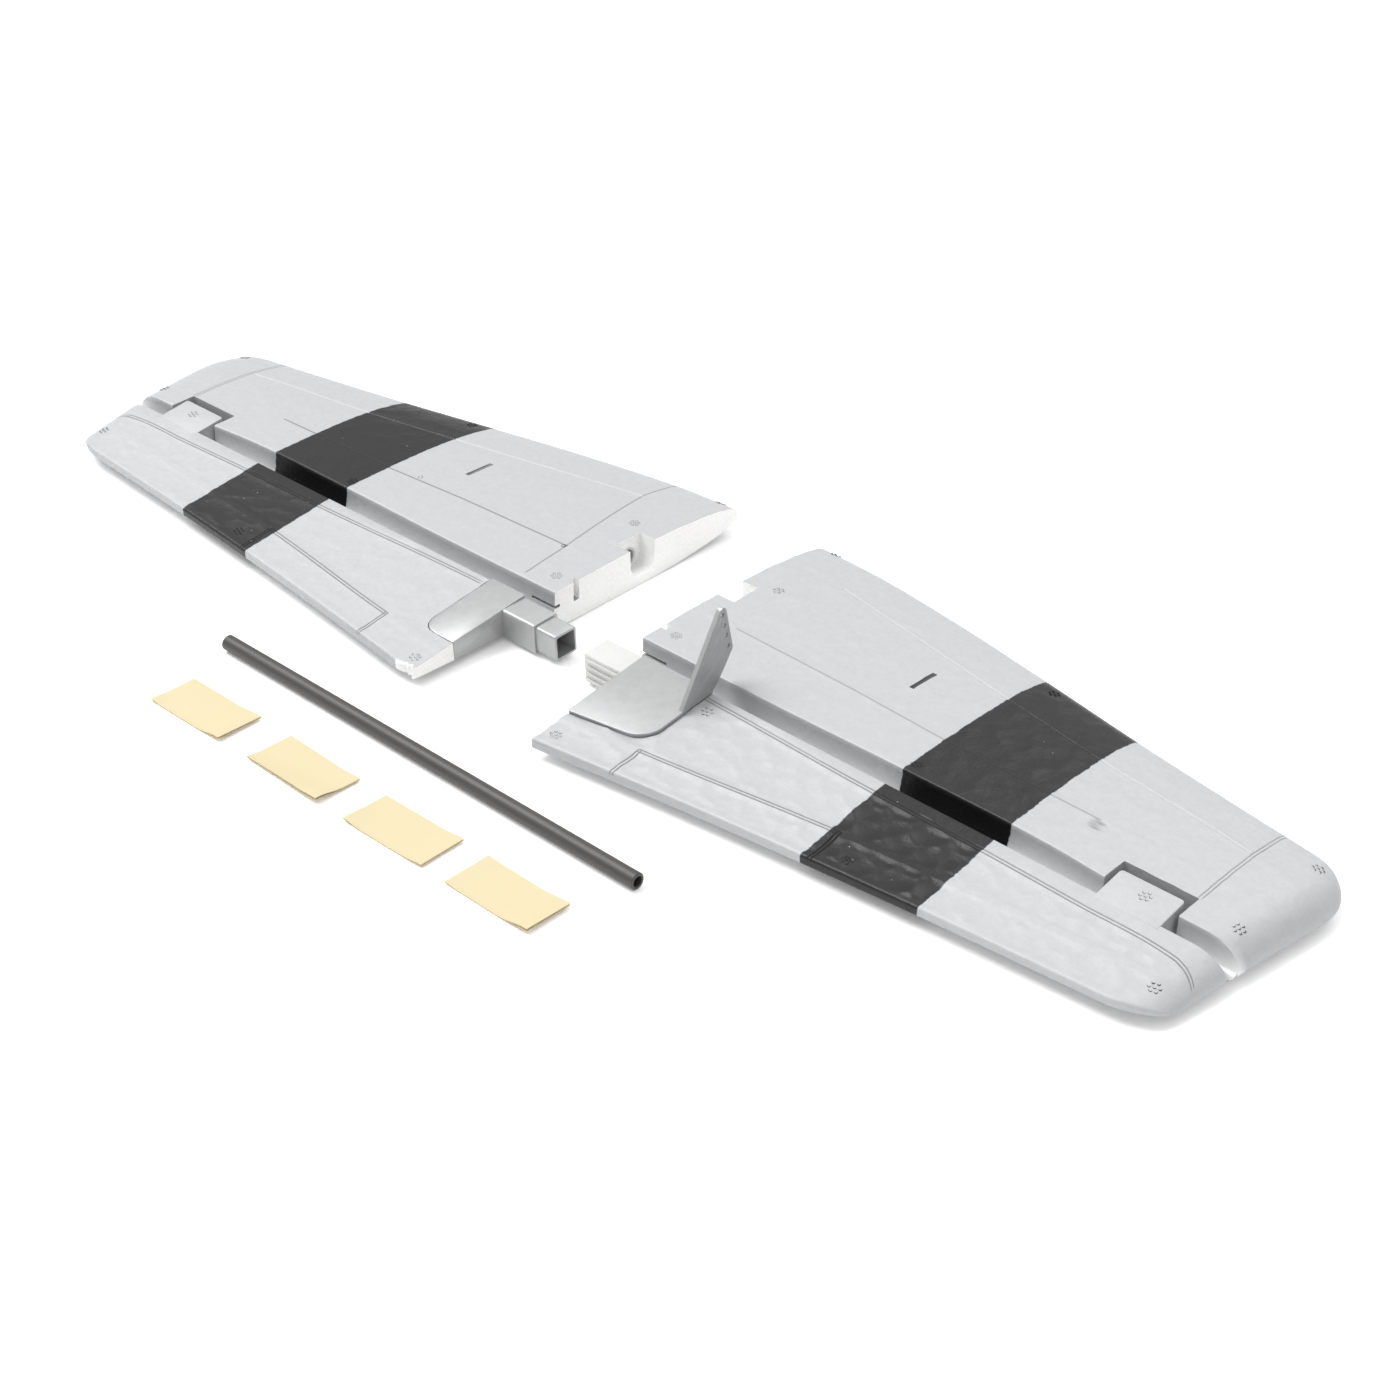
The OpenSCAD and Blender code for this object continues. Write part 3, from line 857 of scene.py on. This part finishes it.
def control_horn():
    base = [(30.6, -4.1), (30.6, -42.5), (58.6, -38.5), (63.7, -33), (63.7, -4.1)]
    hole = [(29, -3.8), (29, -43.2), (58.9, -38.9), (64.1, -33.2), (64.1, -3.8)]
    combine(shells["elevator", 1], skin_prism("horn_cut", rounded(hole, [0, 0, 3.7, 3.2, .6]), -.75, 3))
    plate = skin_prism("control_horn_right", rounded(base, [.6, .8, 3.6, 3.2, .6]), -.7, .8)
    bevel(plate, .3, 3, 50)
    fin = [(-19.9, -.3), (-19.9, 0), (-18.9, 1.6), (3.3, 30.4), (5, 31), (6.2, 29.5), (7.6, 12.4), (1.9, 5.8),
           (-3.2, .9), (-4.1, .6), (-4.1, -.3)]
    fin = skin_prism("fin", rounded(fin, [0, 0, 1.2, .8, .8, .8, .6, 2, .3, .3, 0], 4), 61.9, 63.68, "u")
    for v, share in ((4.1, .907), (4.6, .757), (5, .613), (5.4, .464)):
        z = share * 31
        combine(fin, skin_prism("hole", circle((v, z), .8, 24), 61, 65, "u"))
    bevel(fin, .22, 2, 50)
    combine(plate, fin, "UNION")
    smooth_shade(plate, 30)
    return plate


def lathe_u(name, profile, centre, steps=64):
    """Closed profile of (u, radius) turned about a line along u."""
    n = len(profile)
    points = [(u, centre[0] + r * math.cos(a), centre[1] + r * math.sin(a))
              for a in turn(steps) for u, r in profile]
    faces = [[k * n + i, k * n + (i + 1) % n, (k + 1) % steps * n + (i + 1) % n, (k + 1) % steps * n + i]
             for k in range(steps) for i in range(n)]
    return new_object(name, points, faces)


def joiner_tube():
    low, high = (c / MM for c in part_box("joiner_tube"))
    r, bore, c = TUBE_R, 1.9, .35
    profile = [(low.x, bore + .2), (low.x, r - c), (low.x + c, r)]
    profile += [(u, r) for u in np.linspace(low.x + 12, high.x - 12, 12)]
    profile += [(high.x - c, r), (high.x, r - c), (high.x, bore + .2), (high.x - .3, bore),
                (low.x + .3, bore)]
    obj = lathe_u("joiner_tube_carbon", profile, ((low.y + high.y) / 2 - HINGE_Y, r))
    smooth_shade(obj, 25)
    return obj


def strip(name, place, low, thick, lift):
    """Thin sheet whose corners and ends can lift off the table. lift(a, b) is in mm, with a and b
    from -1 to 1 along and across it."""
    length, width = TAPE
    n, m = 36, 16
    a, b = np.meshgrid(np.linspace(-1, 1, n + 1), np.linspace(-1, 1, m + 1), indexing="ij")
    x, y = a * length / 2, b * width / 2
    c, s = math.cos(place[2]), math.sin(place[2])
    z = low + lift(a, b)
    points = []
    for h in (0, thick):
        layer = np.stack([place[0] + x * c - y * s, place[1] + x * s + y * c, z + h], 2)
        points += layer.reshape(-1, 3).tolist()
    k = (n + 1) * (m + 1)
    at = lambda i, j: i * (m + 1) + j
    faces = []
    for i in range(n):
        for j in range(m):
            q = [at(i, j), at(i + 1, j), at(i + 1, j + 1), at(i, j + 1)]
            faces += [q, [v + k for v in q[::-1]]]
    rim = [at(i, 0) for i in range(n)] + [at(n, j) for j in range(m)]
    rim += [at(i, m) for i in range(n, 0, -1)] + [at(0, j) for j in range(m, 0, -1)]
    faces += [[p, q, q + k, p + k] for p, q in zip(rim, rim[1:] + rim[:1])]
    obj = new_object(name, points, faces)
    smooth_shade(obj, 40)
    return obj


# How far each strip's corners and ends lift
CURLS = [
    lambda a, b: 1.3 * ramp(a, .2, 1) ** 1.5 * (1 - .25 * b) + .5 * ramp(-a, .7, 1) * ramp(-b, 0, 1),
    lambda a, b: 1.6 * ramp(-b + .35 * a, -.2, 1.2) ** 1.6 + .7 * ramp(a, .5, 1),
    lambda a, b: .9 * ramp(a, .4, 1) ** 1.3 + .9 * ramp(-a, .5, 1) * ramp(-b, -.6, 1),
    lambda a, b: 1.7 * ramp(a, .1, 1) ** 1.6 * (1 - .2 * b) + .4 * ramp(-a, .6, 1),
]


def tapes():
    for i, (x, yaw) in enumerate(((-74.2, .3), (-20.7, -1.7), (30.6, .7), (80.4, -.4)), 1):
        place = (x, -118.5, math.radians(yaw))
        curl = CURLS[i - 1]
        film = strip(f"tape_film_{i}", place, 0, .2, lambda a, b: .75 * curl(a, b))
        dress(film, f"tape_{i}", "clear_film", [FILM], f"tape_strip_{i}")
        liner = strip(f"tape_paper_{i}", place, .22, .28, curl)
        dress(liner, f"tape_{i}", "liner_paper", [PAPER], f"tape_liner_{i}")


def hinge_web(side, name):
    """Foam on which an elevator bends, in two lengths beside the balance tab."""
    spans = ((31.2, 223.1), (251.1, tip_u(0) - .6))
    section = [(1.6, -.42), (1.6, .5), (.8, .46), (0, .42), (-.8, .46), (-1.5, .5), (-1.5, -.42), (0, -.38)]
    points, faces = [], []
    for a, b in spans:
        stations = np.linspace(a, b, int((b - a) / 3) + 2)
        faces += closed(len(section), len(stations) - 1, len(points))
        for u in stations:
            for v, z in section:
                p = np.array([[u, v, HINGE_Z + z]])
                points.append((drooped(p) if v < 0 else p)[0].tolist())
    web = new_object(f"hinge_foam_{name}", points, faces, side)
    smooth_shade(web, 50)
    dress(web, None, "raw_foam", [PAINT], f"hinge_web_{name}")
    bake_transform(web)


def dots(name, shell, side, places, body, size=.6, count=7):
    """Small round vent marks of the mould, in groups, set into the skin; their dark colour is painted shade.
    """
    tree = BVHTree.FromObject(shell, bpy.context.evaluated_depsgraph_get())
    points, faces = [], []
    for u, v in places:
        for k in range(count):
            angle = math.tau * k / 6 + .3
            du, dv = (1.7 * math.cos(angle), 1.7 * math.sin(angle)) if k else (0, 0)
            top = Vector((side * (u + du) * MM, (v + dv + HINGE_Y) * MM, .1))
            hit = tree.ray_cast(top, Vector((0, 0, -1)))[0]
            z = hit.z / MM
            start, n = len(points), 10
            for r, h in ((size, -.5), (size, .07), (size * .7, -.04)):
                points += [(a, b, z + h) for a, b in circle((u + du, v + dv), r, n)]
            points.append((u + du, v + dv, z - .08))
            faces.append([start + i for i in range(n)])
            faces += sides(n, 2, start)
            faces += [[start + 2 * n + i, start + 2 * n + (i + 1) % n, start + 3 * n] for i in range(n)]
    obj = new_object(name, points, faces, side)
    smooth_shade(obj, 50)
    # painted shade: blacker discs in the black band, dark grey ones elsewhere
    dress(obj, body, "painted_foam", [PIT_SHADE, DEEP_PIT_SHADE],
          pick=lambda u, v, z, normal: (u > BAND[0]) & (u < BAND[1]))


spigot, socket, horn = joiner_spigot(), joiner_socket(), control_horn()
for side, name in ((-1, "left"), (1, "right")):
    shell = shells["elevator", side]
    smooth_shade(shell)
    dress(shell, f"{name}_elevator", "painted_foam", [PAINT, BARE], f"elevator_{name}",
          pick=broken_faces if side < 0 else elevator_faces)
    hinge_web(side, name)
dress(spigot, "left_elevator", "grey_plastic", [GREY], "joiner_spigot")
dress(socket, "right_elevator", "white_plastic", [WHITE], "joiner_socket")
dress(horn, "right_elevator", "grey_plastic", [GREY], "control_horn")
dress(joiner_tube(), "loose_tube", "carbon_tube", [CARBON], "joiner_tube")
tapes()
STAB_DOTS = [(30.6, 12), (148.7, 77.8), (268.4, 53.2), (267.2, 9.6), (29.7, 101), (37, 60), (143.1, 8.9)]
ELEVATOR_DOTS = [(36, -53.5), (154, -40), (261.5, -26), (238, 2.7)]
for side, name in ((-1, "left"), (1, "right")):
    dots(f"vent_marks_{name}_stabiliser", shells["stab", side], side, STAB_DOTS, f"{name}_half")
    extra = [(69, -13)] if side > 0 else []
    dots(f"vent_marks_{name}_elevator", shells["elevator", side], side, ELEVATOR_DOTS + extra,
         f"{name}_elevator")
dots("pits_left_stabiliser", shells["stab", -1], -1, [(44.4, 29.2), (125.6, 29.1)], "left_half", 1, 1)
for name, guide in (("left", DUSTED), ("right", DARK)):
    for node, m in ((f"tube_sleeve_{name}", WHITE), (f"tube_guide_{name}", guide)):
        mesh = frame["nodes"][node].data
        mesh.materials.clear()
        mesh.materials.append(m)


# ---------------------------------------------------------------- floor, light and camera

def put(obj):
    """Link an object to the scene."""
    bpy.context.scene.collection.objects.link(obj)
    return obj


def aim(obj, place, target):
    """Put a lamp or the camera at a place, looking at the target."""
    obj.location = place
    obj.rotation_euler = (Vector(target) - Vector(place)).to_track_quat("-Z", "Y").to_euler()
    return put(obj)


def floor():
    n = Net("floor_white", (.95, .95, .95))
    n.finish(n.mix(n.noise(3, 1), (.93, .93, .93), (.95, .95, .95)), .9, Emission_Color=(1, 1, 1, 1),
             Emission_Strength=.12)
    bm = bmesh.new()
    bmesh.ops.create_grid(bm, x_segments=8, y_segments=8, size=60)
    mesh = bpy.data.meshes.new("floor")
    bm.to_mesh(mesh)
    bm.free()
    mesh.materials.append(n.material)
    obj = put(bpy.data.objects.new("floor", mesh))
    obj.location.z = -.0002


def sky():
    """White light from all round, brighter towards the top, with a low white rim, so that no grey
    shows over the edge of the floor."""
    world = bpy.data.worlds.new("studio")
    world.use_nodes = True
    tree, place = world.node_tree, world.node_tree.nodes.new
    background = tree.nodes["Background"]
    background.inputs["Color"].default_value = (1, 1, 1, 1)
    position, height = place("ShaderNodeTexCoord"), place("ShaderNodeSeparateXYZ")
    strength = place("ShaderNodeMath")
    strength.operation = "MAXIMUM"
    tree.links.new(position.outputs["Generated"], height.inputs[0])
    for k, (low, high, start, end) in enumerate(((0, .8, .38, 1.1), (.06, .12, 1, 0))):
        level = place("ShaderNodeMapRange")
        tree.links.new(height.outputs["Z"], level.inputs["Value"])
        for socket, value in (("From Min", low), ("From Max", high), ("To Min", start), ("To Max", end)):
            level.inputs[socket].default_value = value
        tree.links.new(level.outputs[0], strength.inputs[k])
    tree.links.new(strength.outputs[0], background.inputs["Strength"])
    bpy.context.scene.world = world


def area(name, place, size, power):
    light = bpy.data.lights.new(name, "AREA")
    light.shape, light.size, light.energy = "DISK", size, power
    aim(bpy.data.objects.new(name, light), place, (0, 0, 0))


def camera():
    """Camera where the photograph was taken from."""
    data = bpy.data.cameras.new("camera")
    data.lens, data.sensor_width = 63.2, 36
    data.clip_start, data.clip_end = .01, 200
    bpy.context.scene.camera = aim(bpy.data.objects.new("camera", data),
                                   Vector((544.1, -526.4 + HINGE_Y, 482.4)) * MM,
                                   Vector((48.72, 4.98 + HINGE_Y, 0)) * MM)


floor()
sky()
area("key", (-6.2, -1.6, 10.2), 8, 1250)
area("back", (-1.2, 7.8, 9), 7.2, 330)
camera()
bpy.context.scene.view_settings.view_transform = "Standard"
